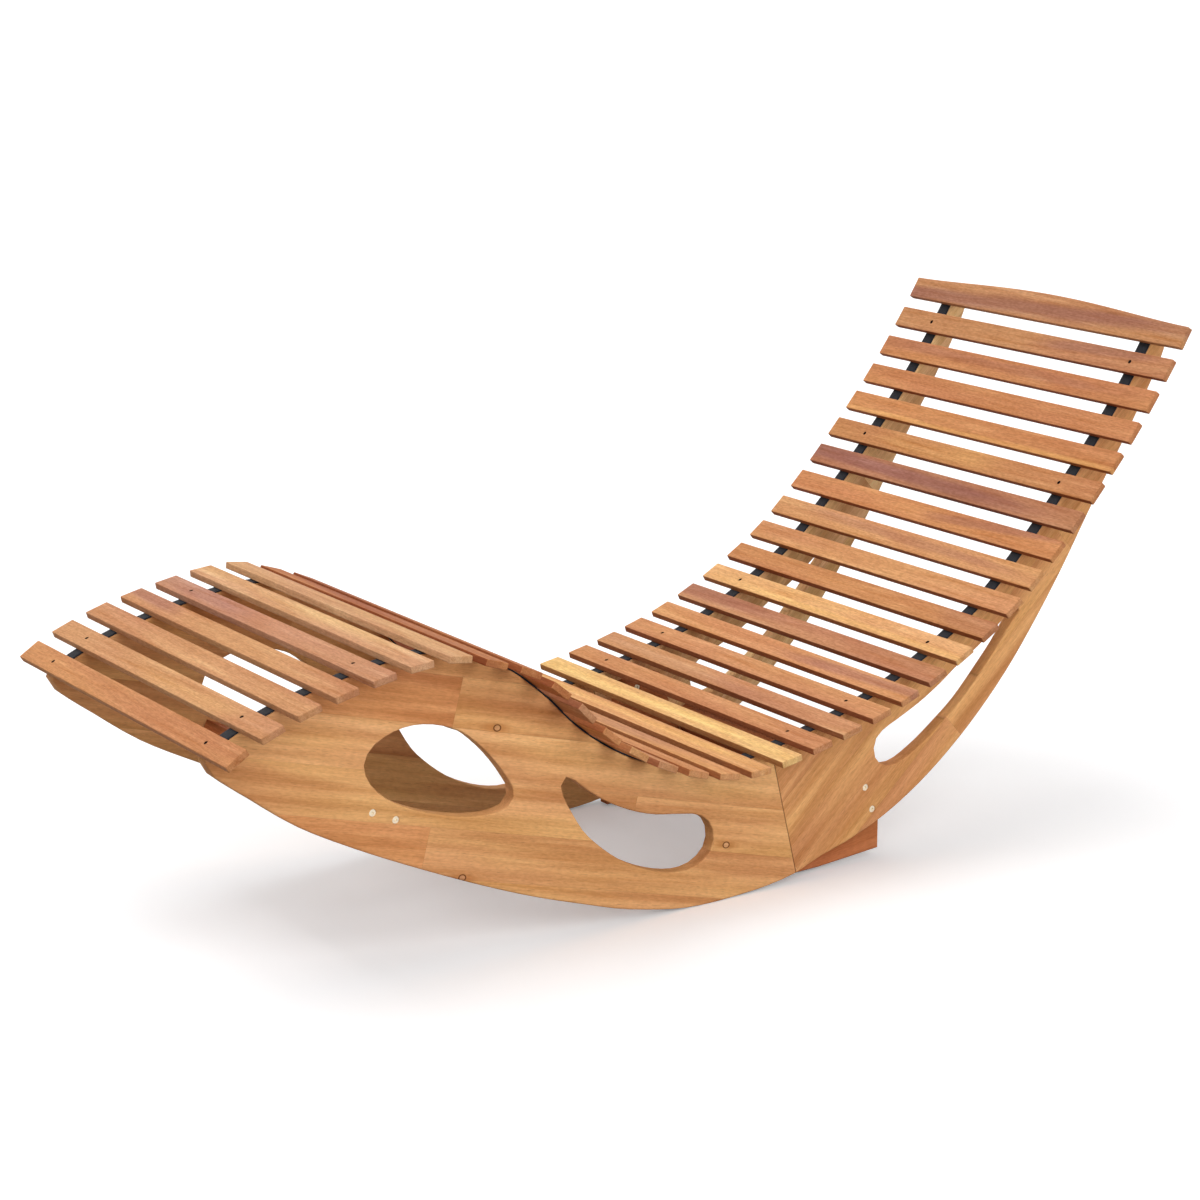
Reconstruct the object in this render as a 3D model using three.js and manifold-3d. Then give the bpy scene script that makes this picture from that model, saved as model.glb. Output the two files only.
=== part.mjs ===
// Rocking chaise lounge: two shaped side panels carry thirty-five cross slats on two webbing straps.
// Units are millimetres. X runs from the foot to the head, Y across the chair, Z up.
// The chair stands level on its rockers, with the floor at Z = 0.
import * as THREE from "three";
import { mergeVertices } from "three/addons/utils/BufferGeometryUtils.js";
import Module from "manifold-3d";

const wasm = await Module();
wasm.setup();

// Overall sizes
const chairLength = 1485; // foot edge to the head end of the lying line
const chairHeight = 690; // nearly the height of the head end of the lying line
const slatLength = 570; // the chair's full width

// Slats
const slatCount = 35;
const slatWidth = 32;
const slatThickness = 9;
const slatEdgeRadius = 1;
const slatCornerRadius = 1.5;
const crownRise = 11; // how far the top slat's upper edge bulges at the middle
const crownFullness = 1.5; // above 1 the bulge leaves the slat's ends more gently
const slatEndInset = 64.5; // from a slat's end to the outer face of the panel below it

// Webbing straps
const strapThickness = 1.6;
const strapEndInset = 8; // how far the strap stops short of the lying line's ends

// Side panels
const panelThickness = 20;
const panelEdgeRadius = 2;
const seamGap = 0.4;

// Fasteners
const capDiameter = 10;
const capThickness = 2.4;
const capEdge = 0.5;
const capSunk = 0.6; // the cap's face lies this far below the wood
const capSlack = 0.5; // play between the cap and its counterbore
const socketAcross = 4;
const socketDepth = 1.2;
const screwHoleDiameter = 6;
const screwHoleDepth = 4;

// Cross stretchers
const stretcherDepth = 60;
const stretcherThickness = 20;
const stretcherEdgeRadius = 2;
const boltSpacing = 35;

// Joint plates
const plateThickness = 20;
const plateEdgeRadius = 1.5;

// Air kept between pieces that touch
const clearance = 0.3;

// Points of a surface nearer than this are welded into one
const weldDistance = 0.001;

// The line the slats lie on, from the foot to the head: each point is a share of the chair's length
// and a share of its height.
const bedShares = [
  [0.005, 0.4675],
  [0.0225, 0.4905],
  [0.0425, 0.5095],
  [0.076, 0.5355],
  [0.1095, 0.554],
  [0.143, 0.569],
  [0.177, 0.5805],
  [0.21, 0.5815],
  [0.2425, 0.562],
  [0.283, 0.528],
  [0.304, 0.494],
  [0.3235, 0.457],
  [0.348, 0.403],
  [0.3735, 0.3595],
  [0.404, 0.3195],
  [0.4415, 0.287],
  [0.477, 0.268],
  [0.51, 0.2615],
  [0.545, 0.2715],
  [0.613, 0.3035],
  [0.6785, 0.3475],
  [0.7405, 0.4105],
  [0.7995, 0.49],
  [0.8495, 0.587],
  [0.8965, 0.693],
  [0.9405, 0.803],
  [0.9805, 0.92],
  [0.999, 0.981],
  [1.004, 0.999],
];

// How far slats sit from an even spacing, towards the head: a slat's number and a share of the pitch.
const slatDriftShares = [
  [1, -0.065],
  [6, -0.052],
  [7, -0.03],
  [17, 0.065],
  [22, 0.07],
  [25, 0.105],
  [27, 0.1],
  [29, 0.09],
  [31, 0.055],
  [33, 0.03],
  [35, 0.015],
];

// The panel's outline below that line, from the head down the back and along the rocker to the foot.
const lowerShares = [
  [1.0162, 0.9648],
  [1.0133, 0.9477],
  [0.9982, 0.8851],
  [0.9807, 0.8225],
  [0.9611, 0.7554],
  [0.9282, 0.6463],
  [0.8939, 0.527],
  [0.8664, 0.4403],
  [0.833, 0.3457],
  [0.7991, 0.2667],
  [0.7651, 0.2008],
  [0.7302, 0.1446],
  [0.6885, 0.0925],
  [0.6476, 0.057],
  [0.612, 0.0352],
  [0.5865, 0.0145],
  [0.5665, 0.0055],
  [0.5445, -0.0005],
  [0.518, -0.0038],
  [0.488, -0.0056],
  [0.457, -0.0018],
  [0.4235, 0.0113],
  [0.394, 0.026],
  [0.364, 0.0465],
  [0.304, 0.0905],
  [0.246, 0.141],
  [0.191, 0.194],
  [0.137, 0.25],
  [0.083, 0.314],
  [0.0425, 0.3785],
  [0.0275, 0.4025],
  [0.0151, 0.4243],
  [0.0088, 0.4365],
  [0.0048, 0.4485],
  [0.004, 0.4585],
];

// The three openings of each panel.
const footOpeningShares = [
  [0.1454, 0.3993],
  [0.1518, 0.4258],
  [0.1685, 0.446],
  [0.1891, 0.4542],
  [0.2118, 0.4482],
  [0.2353, 0.4281],
  [0.2538, 0.3957],
  [0.2702, 0.3564],
  [0.2825, 0.3177],
  [0.2877, 0.2943],
  [0.2827, 0.2723],
  [0.269, 0.264],
  [0.2458, 0.2667],
  [0.2164, 0.2812],
  [0.1885, 0.3034],
  [0.1649, 0.3324],
  [0.15, 0.3661],
];
const seatOpeningShares = [
  [0.3344, 0.288],
  [0.3363, 0.301],
  [0.3419, 0.3021],
  [0.3546, 0.2806],
  [0.375, 0.2475],
  [0.401, 0.2175],
  [0.4279, 0.1964],
  [0.4568, 0.1852],
  [0.4781, 0.1749],
  [0.4896, 0.1544],
  [0.4937, 0.1268],
  [0.4903, 0.0993],
  [0.4775, 0.0781],
  [0.4605, 0.0716],
  [0.438, 0.0796],
  [0.414, 0.099],
  [0.3925, 0.125],
  [0.3734, 0.1572],
  [0.3578, 0.1907],
  [0.3454, 0.2326],
  [0.3368, 0.2673],
];
const backOpeningShares = [
  [0.6728, 0.233],
  [0.6748, 0.2497],
  [0.6825, 0.2651],
  [0.7018, 0.2838],
  [0.7258, 0.3078],
  [0.7485, 0.3362],
  [0.7687, 0.3661],
  [0.7927, 0.3967],
  [0.8185, 0.436],
  [0.8345, 0.461],
  [0.8425, 0.4675],
  [0.8425, 0.4545],
  [0.8334, 0.4359],
  [0.8196, 0.3962],
  [0.797, 0.3425],
  [0.7743, 0.2927],
  [0.7505, 0.2534],
  [0.7272, 0.2194],
  [0.7034, 0.1939],
  [0.6921, 0.1907],
  [0.6812, 0.1971],
  [0.6749, 0.2125],
];

// The seam between the front board and the back board, from the top edge to the rocker.
const seamShares = [
  [0.5515, 0.31],
  [0.5905, -0.03],
];

// The joint plate that ties both boards behind the seam; its square end stops the chair tipping back.
const plateShares = [
  [0.566, 0.0015],
  [0.5865, 0.0005],
  [0.6215, 0.002],
  [0.6565, 0.0075],
  [0.691, 0.0135],
  [0.691, 0.08],
  [0.662, 0.084],
  [0.6425, 0.174],
  [0.6275, 0.265],
  [0.5815, 0.255],
];
const plateBoltShares = [0.6005, 0.243];

// Where the two stretchers cross the panel, and the slope of each one's section in degrees.
const frontStretcherShares = [0.163, 0.2998];
const frontStretcherSlope = -25;
const rearStretcherShares = [0.668, 0.1322];
const rearStretcherSlope = -69;

// Slats that are screwed to the panels, counted from the foot.
const screwedSlats = [1, 2, 5, 9, 12, 19, 21, 24, 30, 34];

// How finely the curves are drawn
const topSamples = 120;
const lowerSamples = 84;
const footOpeningSamples = 38;
const seatOpeningSamples = 42;
const backOpeningSamples = 48;
const strapSamples = 110;
const curveDivisions = 3000;
const cornerSegments = 2;
const roundSegments = 18;
const crownSamples = 24;
const holeSegments = 12;
const hexagonSides = 6;
const fitSamples = 12;

// Sizes that follow from the ones above
const panelOuterY = slatLength / 2 - slatEndInset;
const panelCentreY = panelOuterY - panelThickness / 2;
const panelInnerY = panelOuterY - panelThickness;
const strapWidth = panelThickness;
const strapTopDrop = clearance;
const strapBottomDrop = strapTopDrop + strapThickness;
const panelTopDrop = strapBottomDrop + clearance;
const cutterReach = chairLength;

const slatTimber = new THREE.MeshStandardMaterial({ name: "acacia_slats", color: 0xbe7b4c, roughness: 0.55 });
const boardTimber = new THREE.MeshStandardMaterial({ name: "acacia_boards", color: 0xc98a52, roughness: 0.55 });
const innerTimber = new THREE.MeshStandardMaterial({ name: "acacia_dark", color: 0x9a5a38, roughness: 0.6 });
const webbing = new THREE.MeshStandardMaterial({ name: "webbing", color: 0x24262c, roughness: 0.9 });
const capMetal = new THREE.MeshStandardMaterial({ name: "cap_metal", color: 0xe8dcc4, roughness: 0.4 });

const group = new THREE.Group();
group.name = "rocking_chaise_lounge";

// Turns shares of the chair's length and height into a point of the side view.
function sidePoint([xShare, zShare]) {
  return new THREE.Vector3(xShare * chairLength, zShare * chairHeight, 0);
}

function smoothCurve(shares, closed) {
  const curve = new THREE.CatmullRomCurve3(shares.map(sidePoint), closed, "centripetal");
  curve.arcLengthDivisions = curveDivisions;
  return curve;
}

const bedLine = smoothCurve(bedShares, false);
const bedLength = bedLine.getLength();
const slatPitch = (bedLength - slatWidth) / (slatCount - 1);

// A point of the lying line at a distance along it, moved down across the line by a drop.
function bedPoint(distance, drop) {
  const share = THREE.MathUtils.clamp(distance / bedLength, 0, 1);
  const point = bedLine.getPointAt(share);
  const along = bedLine.getTangentAt(share);
  return new THREE.Vector2(point.x + along.y * drop, point.y - along.x * drop);
}

// Where a slat's middle lies along the lying line.
function slatDistance(number) {
  const later = slatDriftShares.findIndex(([mark]) => mark >= number);
  const [toNumber, toDrift] = slatDriftShares[later];
  const [fromNumber, fromDrift] = slatDriftShares[Math.max(later - 1, 0)];
  const along = toNumber > fromNumber ? (number - fromNumber) / (toNumber - fromNumber) : 0;
  const drift = THREE.MathUtils.lerp(fromDrift, toDrift, along);
  return slatWidth / 2 + (number - 1 + drift) * slatPitch;
}

function bedAngle(distance) {
  const along = bedLine.getTangentAt(THREE.MathUtils.clamp(distance / bedLength, 0, 1));
  return Math.atan2(along.y, along.x);
}

function solidFrom(geometry) {
  const bare = geometry.clone();
  bare.deleteAttribute("normal");
  bare.deleteAttribute("uv");
  const merged = mergeVertices(bare, weldDistance);
  return new wasm.Manifold(
    new wasm.Mesh({
      numProp: 3,
      vertProperties: new Float32Array(merged.attributes.position.array),
      triVerts: new Uint32Array(merged.index.array),
    }),
  );
}

function geometryFrom(solid) {
  const mesh = solid.getMesh();
  const geometry = new THREE.BufferGeometry();
  geometry.setAttribute("position", new THREE.BufferAttribute(new Float32Array(mesh.vertProperties), 3));
  geometry.setIndex(new THREE.BufferAttribute(new Uint32Array(mesh.triVerts), 1));
  const faceted = geometry.toNonIndexed();
  faceted.computeVertexNormals();
  return faceted;
}

function addMesh(name, geometry, material) {
  const mesh = new THREE.Mesh(geometry, material);
  mesh.name = name;
  group.add(mesh);
}

// Stands a side-view shape up in the X-Z plane, between two distances across the chair.
function standUp(geometry, fromY, toY) {
  const low = Math.min(fromY, toY);
  const thickness = Math.abs(toY - fromY);
  geometry.rotateX(Math.PI / 2);
  geometry.translate(0, low + thickness, 0);
  return geometry;
}

// Extrudes a side-view shape with rounded rims; the outline keeps its full size at mid thickness.
function extrudeRounded(shape, thickness, edge, segments) {
  const geometry = new THREE.ExtrudeGeometry(shape, {
    depth: thickness - 2 * edge,
    bevelEnabled: true,
    bevelThickness: edge,
    bevelSize: edge,
    bevelOffset: -edge,
    bevelSegments: segments,
    curveSegments: cornerSegments,
  });
  geometry.translate(0, 0, edge);
  return geometry;
}

function extrudeSharp(shape, thickness) {
  return new THREE.ExtrudeGeometry(shape, {
    depth: thickness,
    bevelEnabled: false,
    curveSegments: cornerSegments,
  });
}

// A circle or a regular polygon of a given width across its corners.
function roundShape(diameter, sides) {
  const points = [];
  for (let i = 0; i < sides; i += 1) {
    const turn = (i / sides) * Math.PI * 2;
    points.push(new THREE.Vector2((diameter / 2) * Math.cos(turn), (diameter / 2) * Math.sin(turn)));
  }
  return new THREE.Shape(points);
}

function openingPath(shares, samples) {
  const curve = smoothCurve(shares, true);
  const points = curve.getSpacedPoints(samples).slice(0, samples);
  return new THREE.Path(points.map((point) => new THREE.Vector2(point.x, point.y)).reverse());
}

// The outline of a whole side panel: along the top edge to the head, then back below.
function panelShape() {
  const points = [];
  for (let i = 0; i <= topSamples; i += 1) {
    points.push(bedPoint((i / topSamples) * bedLength, panelTopDrop));
  }
  const lower = smoothCurve(lowerShares, false).getSpacedPoints(lowerSamples);
  lower.forEach((point) => points.push(new THREE.Vector2(point.x, point.y)));
  const shape = new THREE.Shape(points);
  shape.holes.push(openingPath(footOpeningShares, footOpeningSamples));
  shape.holes.push(openingPath(seatOpeningShares, seatOpeningSamples));
  shape.holes.push(openingPath(backOpeningShares, backOpeningSamples));
  return shape;
}

// A prism that covers everything on one side of the seam: -1 is the foot side, 1 the head side.
function seamSide(side) {
  const top = sidePoint(seamShares[0]);
  const bottom = sidePoint(seamShares[1]);
  const along = top.clone().sub(bottom).normalize();
  const shift = side * (seamGap / 2);
  const across = new THREE.Vector3(along.y, -along.x, 0);
  const high = top.clone().addScaledVector(along, cutterReach).addScaledVector(across, shift);
  const low = bottom.clone().addScaledVector(along, -cutterReach).addScaledVector(across, shift);
  const farHigh = high.clone().addScaledVector(across, side * cutterReach);
  const farLow = low.clone().addScaledVector(across, side * cutterReach);
  const corners = [high, low, farLow, farHigh].map((p) => new THREE.Vector2(p.x, p.y));
  const shape = new THREE.Shape(corners);
  const geometry = extrudeSharp(shape, cutterReach);
  return solidFrom(standUp(geometry, -cutterReach / 2, cutterReach / 2));
}

// The two bolt positions of a stretcher, along its section.
function boltPoints(shares, slope) {
  const centre = sidePoint(shares);
  const turn = THREE.MathUtils.degToRad(slope);
  return [-1, 1].map((end) => {
    const reach = (end * boltSpacing) / 2;
    return new THREE.Vector2(centre.x + reach * Math.cos(turn), centre.y + reach * Math.sin(turn));
  });
}

const boltSpots = [
  ...boltPoints(frontStretcherShares, frontStretcherSlope),
  ...boltPoints(rearStretcherShares, rearStretcherSlope),
];
const plateBolt = sidePoint(plateBoltShares);

const boreDiameter = capDiameter + capSlack;
const boreDepth = capSunk + capThickness + clearance;

// A round cutter or cap along Y at a point of the side view, from a face inwards.
function discAcross(diameter, sides, point, faceY, depth, towards) {
  const geometry = extrudeSharp(roundShape(diameter, sides), depth);
  standUp(geometry, faceY, faceY + towards * depth);
  geometry.translate(point.x, 0, point.y);
  return geometry;
}

// One cap: a flat disc with an eased rim and a six-sided socket, facing away from the centre
// of the chair when outward is 1 and towards it when outward is -1.
function addCap(name, point, side, faceY, outward) {
  const away = side * outward;
  const rim = faceY - away * capSunk;
  const back = rim - away * capThickness;
  const body = extrudeRounded(roundShape(capDiameter, roundSegments), capThickness, capEdge, 1);
  standUp(body, back, rim);
  body.translate(point.x, 0, point.y);
  const socketFrom = rim - away * socketDepth;
  const socketTo = rim + away * socketDepth;
  const socket = extrudeSharp(roundShape(socketAcross, hexagonSides), Math.abs(socketTo - socketFrom));
  standUp(socket, socketFrom, socketTo);
  socket.translate(point.x, 0, point.y);
  addMesh(name, geometryFrom(solidFrom(body).subtract(solidFrom(socket))), capMetal);
}

function counterbore(solid, point, faceY, away) {
  const outside = faceY + away * boreDepth;
  const cutter = discAcross(boreDiameter, roundSegments, point, outside, 2 * boreDepth, -away);
  return solid.subtract(solidFrom(cutter));
}

// How far along the lying line each step of a strap lies.
function strapDistance(step) {
  return strapEndInset + (step / strapSamples) * (bedLength - 2 * strapEndInset);
}

const footSide = seamSide(-1);
const headSide = seamSide(1);
const sides = [
  { label: "near", sign: -1 },
  { label: "far", sign: 1 },
];

sides.forEach(({ label, sign }) => {
  const outer = sign * panelOuterY;
  const inner = sign * panelInnerY;
  const whole = standUp(extrudeRounded(panelShape(), panelThickness, panelEdgeRadius, 2), inner, outer);
  let panel = solidFrom(whole);
  boltSpots.forEach((spot) => {
    panel = counterbore(panel, spot, outer, sign);
  });
  addMesh("panel_front_" + label, geometryFrom(panel.intersect(footSide)), boardTimber);
  addMesh("panel_back_" + label, geometryFrom(panel.intersect(headSide)), boardTimber);

  boltSpots.forEach((spot, index) => {
    const place = index < 2 ? "front" : "rear";
    const number = (index % 2) + 1;
    addCap("bolt_cap_" + place + "_" + number + "_" + label, spot, sign, outer, 1);
  });

  // Joint plate on the panel's inner face
  const plateFrom = inner - sign * clearance;
  const plateTo = plateFrom - sign * plateThickness;
  const plateOutline = new THREE.Shape(plateShares.map((pair) => new THREE.Vector2(...sidePoint(pair).toArray())));
  const plateBody = extrudeRounded(plateOutline, plateThickness, plateEdgeRadius, 1);
  const plate = counterbore(solidFrom(standUp(plateBody, plateFrom, plateTo)), plateBolt, plateTo, -sign);
  addMesh("joint_plate_" + label, geometryFrom(plate), innerTimber);
  addCap("bolt_cap_plate_" + label, plateBolt, sign, plateTo, -1);

  // Webbing strap along the panel's top edge
  const strapPoints = [];
  for (let i = 0; i <= strapSamples; i += 1) {
    strapPoints.push(bedPoint(strapDistance(i), strapTopDrop));
  }
  for (let i = strapSamples; i >= 0; i -= 1) {
    strapPoints.push(bedPoint(strapDistance(i), strapBottomDrop));
  }
  const strap = extrudeSharp(new THREE.Shape(strapPoints), strapWidth);
  addMesh("strap_" + label, standUp(strap, inner, outer), webbing);
});

// Cross stretchers between the panels
function addStretcher(name, shares, slope) {
  const centre = sidePoint(shares);
  const section = new THREE.Shape([
    new THREE.Vector2(-stretcherDepth / 2, -stretcherThickness / 2),
    new THREE.Vector2(stretcherDepth / 2, -stretcherThickness / 2),
    new THREE.Vector2(stretcherDepth / 2, stretcherThickness / 2),
    new THREE.Vector2(-stretcherDepth / 2, stretcherThickness / 2),
  ]);
  const reach = panelInnerY - clearance;
  const geometry = extrudeRounded(section, 2 * reach, stretcherEdgeRadius, 1);
  geometry.rotateZ(THREE.MathUtils.degToRad(slope));
  standUp(geometry, -reach, reach);
  geometry.translate(centre.x, 0, centre.y);
  addMesh(name, geometry, innerTimber);
}

addStretcher("stretcher_front", frontStretcherShares, frontStretcherSlope);
addStretcher("stretcher_rear", rearStretcherShares, rearStretcherSlope);

// The outline of a slat seen from above, its length along Y; the crown bulges its head-side edge.
function slatShape(crown) {
  const halfLength = slatLength / 2;
  const halfWidth = slatWidth / 2;
  const r = slatCornerRadius;
  const shape = new THREE.Shape();
  shape.moveTo(-halfWidth, -halfLength + r);
  shape.absarc(-halfWidth + r, -halfLength + r, r, Math.PI, Math.PI * 1.5, false);
  shape.absarc(halfWidth - r, -halfLength + r, r, Math.PI * 1.5, Math.PI * 2, false);
  if (crown > 0) {
    const crownHalf = halfLength - r;
    for (let i = 1; i < crownSamples; i += 1) {
      const share = i / crownSamples;
      const bulge = crown * Math.sin(Math.PI * share) ** crownFullness;
      shape.lineTo(halfWidth + bulge, THREE.MathUtils.lerp(-crownHalf, crownHalf, share));
    }
  }
  shape.absarc(halfWidth - r, halfLength - r, r, 0, Math.PI * 0.5, false);
  shape.absarc(-halfWidth + r, halfLength - r, r, Math.PI * 0.5, Math.PI, false);
  return shape;
}

// How high a flat slat must ride to clear the curved strap below it.
function slatLift(distance, angle) {
  const centre = bedPoint(distance, strapTopDrop);
  let lift = 0;
  for (let i = 0; i <= fitSamples; i += 1) {
    const step = (i / fitSamples - 0.5) * slatWidth;
    const point = bedPoint(distance + step, strapTopDrop);
    const rise = (point.y - centre.y) * Math.cos(angle) - (point.x - centre.x) * Math.sin(angle);
    lift = Math.max(lift, rise);
  }
  return lift;
}

for (let i = 0; i < slatCount; i += 1) {
  const number = i + 1;
  const distance = slatDistance(number);
  const angle = bedAngle(distance);
  const crown = number === slatCount ? crownRise : 0;
  let solid = solidFrom(extrudeRounded(slatShape(crown), slatThickness, slatEdgeRadius, 2));
  if (screwedSlats.includes(number)) {
    [-1, 1].forEach((sign) => {
      const hole = extrudeSharp(roundShape(screwHoleDiameter, holeSegments), 2 * screwHoleDepth);
      hole.translate(0, sign * panelCentreY, slatThickness - screwHoleDepth);
      solid = solid.subtract(solidFrom(hole));
    });
  }
  const geometry = geometryFrom(solid);
  const seat = bedPoint(distance, -slatLift(distance, angle));
  geometry.rotateY(-angle);
  geometry.translate(seat.x, 0, seat.y);
  addMesh("slat_" + String(number).padStart(2, "0"), geometry, slatTimber);
}

// Puts the middle of the footprint at the origin, with the rocker's lowest point on the floor
const extent = new THREE.Box3().setFromObject(group);
const middle = extent.getCenter(new THREE.Vector3());
group.children.forEach((mesh) => mesh.geometry.translate(-middle.x, -middle.y, -extent.min.z));

export default group;
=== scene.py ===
# %% [markdown]
# # A rocking lounger, dressed for its picture
#
# The chair is two curved side panels, thirty-five slats across them, and two bands of webbing in
# between. Its solids come ready made, in metres, with the floor at Z = 0 and the foot end at -X.
# This lesson gives each solid the surface that the real thing has: oiled acacia, woven webbing,
# plated bolt heads and small dark screws. Nothing is moved, so every finish sits where the solid is.

# %% Load the chair's solids
import math

import bmesh
import bpy
from mathutils import Matrix, Vector


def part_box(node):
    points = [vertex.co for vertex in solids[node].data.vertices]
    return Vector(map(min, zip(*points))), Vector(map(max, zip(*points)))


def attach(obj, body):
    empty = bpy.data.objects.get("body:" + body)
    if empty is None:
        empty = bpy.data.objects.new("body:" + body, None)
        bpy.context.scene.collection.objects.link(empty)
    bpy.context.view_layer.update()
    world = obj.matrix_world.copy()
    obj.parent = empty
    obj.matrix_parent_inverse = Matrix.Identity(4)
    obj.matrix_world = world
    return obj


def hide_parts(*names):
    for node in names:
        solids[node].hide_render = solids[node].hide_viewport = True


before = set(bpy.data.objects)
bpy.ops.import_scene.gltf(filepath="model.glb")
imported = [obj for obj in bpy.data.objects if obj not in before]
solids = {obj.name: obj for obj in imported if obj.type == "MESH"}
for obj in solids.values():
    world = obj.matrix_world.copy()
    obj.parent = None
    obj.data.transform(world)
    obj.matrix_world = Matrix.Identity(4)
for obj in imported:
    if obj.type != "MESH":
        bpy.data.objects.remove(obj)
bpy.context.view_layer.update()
MM = 0.001

# %% [markdown]
# ## The camera
#
# A photograph's viewpoint can be worked out from edges that are parallel on the real thing. Here the
# slats' ends gave it: the camera stands a little over four metres from the chair, at the foot end's
# left, looks down by about fourteen degrees, and has a long lens, so the slats hardly converge.

# %% Place the camera
PHOTO_SIDE = 1200
FOCAL_LENGTH_PIXELS = 2990.8
SENSOR = 36.0
CAMERA_PLACE = Vector((-2.2157, -3.1816, 1.3534))
CAMERA_DOWN = math.radians(14.4)
CAMERA_RIGHT = math.radians(34.24)

camera_data = bpy.data.cameras.new("camera")
camera_data.sensor_width = SENSOR
camera_data.lens = SENSOR * FOCAL_LENGTH_PIXELS / PHOTO_SIDE
camera = bpy.data.objects.new("camera", camera_data)
camera.location = CAMERA_PLACE
camera.rotation_euler = (math.pi / 2 - CAMERA_DOWN, 0, -CAMERA_RIGHT)
bpy.context.scene.collection.objects.link(camera)
bpy.context.scene.camera = camera
print("lens", round(camera_data.lens, 1), "mm")

# %% [markdown]
# ## The light
#
# A product picture is lit by wide, soft sources. Suns with large angles stand for them, because a
# sun lights the whole floor evenly and leaves only the chair's own soft shadow. Here a low front
# lamp lights the near panel, and a lamp from the far side draws the shadow towards the camera. The
# top lamp stands high over the foot end and lights the seat and the backrest. With the light of the
# sky, the sum is near one, so that a colour shows about as it is written.

# %% Hang the lamps
LAMPS = {
    # name: (direction round the chair in degrees, height in degrees, strength, softness in degrees)
    "front_lamp": (-96, 20, 2.25, 70),
    "side_lamp": (106, 28, 1.10, 45),
    "top_lamp": (155, 71, 1.30, 45),
}
LAMP_DISTANCE = 3.0


def soft_sun(name, turn, height, strength, softness):
    """A sun lamp that shines on the chair from a direction."""
    data = bpy.data.lights.new(name, "SUN")
    data.energy = strength
    data.angle = math.radians(softness)
    turn, height = math.radians(turn), math.radians(height)
    level = math.cos(height)
    comes_from = Vector((level * math.cos(turn), level * math.sin(turn), math.sin(height)))
    lamp = bpy.data.objects.new(name, data)
    lamp.rotation_euler = comes_from.to_track_quat("Z", "Y").to_euler()
    lamp.location = comes_from * LAMP_DISTANCE
    bpy.context.scene.collection.objects.link(lamp)
    return lamp


for name, numbers in LAMPS.items():
    soft_sun(name, *numbers)
bpy.context.scene.view_settings.view_transform = "Standard"
print(len(LAMPS), "suns")

# %% [markdown]
# ## Helpers for colours and nodes
#
# Colours are easiest to judge as they show on a screen, so they are written here as screen values
# from 0 to 255 and turned into the linear values that Blender computes with. Materials are graphs of
# nodes, and `wire` adds one node: its inputs take a number, a colour or another node's socket. The
# rest are shorthands for the nodes that come up most: a sum, a mix, a smooth step and a bump.

# %% Helpers for colours and nodes
WHITE = (1.0, 1.0, 1.0, 1.0)


def screen(red, green, blue):
    """A colour as a screen shows it, 0 to 255, as the linear colour that Blender uses."""
    def linear(value):
        share = value / 255
        return share / 12.92 if share <= 0.04045 else ((share + 0.055) / 1.055) ** 2.4
    return (linear(red), linear(green), linear(blue), 1.0)


def wire(tree, kind, inputs=None, **settings):
    """Adds a node to a material's graph and returns it."""
    made = tree.nodes.new("ShaderNode" + kind)
    for key, value in settings.items():
        setattr(made, key, value)
    for key, value in (inputs or {}).items():
        if isinstance(value, bpy.types.NodeSocket):
            tree.links.new(value, made.inputs[key])
        else:
            made.inputs[key].default_value = value
    return made


def calc(tree, operation, first, second=0.0, third=0.0):
    """One sum on numbers, such as MULTIPLY."""
    return wire(tree, "Math", {0: first, 1: second, 2: third}, operation=operation).outputs[0]


def calc_vector(tree, operation, first, second):
    """One sum on vectors."""
    return wire(tree, "VectorMath", {0: first, 1: second}, operation=operation).outputs[0]


def blend(tree, share, first, second, way="MIX"):
    """Mixes two colours, from the first at share 0 to the second at share 1."""
    # The node mixes numbers and vectors too: for colours it has inputs 6 and 7 and output 2
    made = wire(tree, "Mix", {0: share, 6: first, 7: second}, data_type="RGBA", blend_type=way)
    return made.outputs[2]


def spread(tree, value, low, high):
    """Stretches a value so that low becomes 0 and high becomes 1, and cuts off the rest."""
    made = wire(tree, "MapRange", {"Value": value, "From Min": low, "From Max": high})
    made.interpolation_type = "SMOOTHSTEP"
    return made.outputs["Result"]


def add_bump(tree, shader, height, strength, depth):
    """Tilts the surface's normals as if it rose by the depth where the height is 1."""
    bump = wire(tree, "Bump", {"Height": height, "Strength": strength, "Distance": depth})
    tree.links.new(bump.outputs["Normal"], shader.inputs["Normal"])


def new_material(name):
    """An empty material with its surface shader, as (material, graph, shader)."""
    material = bpy.data.materials.new(name)
    material.use_nodes = True
    return material, material.node_tree, material.node_tree.nodes["Principled BSDF"]


print("a middle grey of 188 is", round(screen(188, 188, 188)[0], 2), "in linear light")

# %% [markdown]
# ## The floor
#
# The studio floor runs on to the horizon, so one plane is floor and backdrop at once. Its colour is
# nearly white. The camera also sees a weak glow on it, which lifts the lit floor to pure white and
# leaves the shadow visible. Light Path limits both to what is seen, directly or by way of a shiny or
# clear surface. The light that the floor throws back on the chair is that of a grey floor, which
# keeps the chair's undersides as dark as the photograph shows them.

# %% Lay the floor
FLOOR_REACH = 60.0
FLOOR_COLOUR = screen(246, 246, 247)
FLOOR_THROWN_BACK = screen(122, 120, 118)
FLOOR_GLOW = 0.19
FLOOR_ROUGHNESS = 0.9


def seen_directly(tree):
    """1 where the camera looks, also by way of a shiny or clear surface, and 0 for other light."""
    path = wire(tree, "LightPath").outputs
    seen = calc(tree, "MAXIMUM", path["Is Camera Ray"], path["Is Glossy Ray"])
    return calc(tree, "MAXIMUM", seen, path["Is Transmission Ray"])


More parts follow.
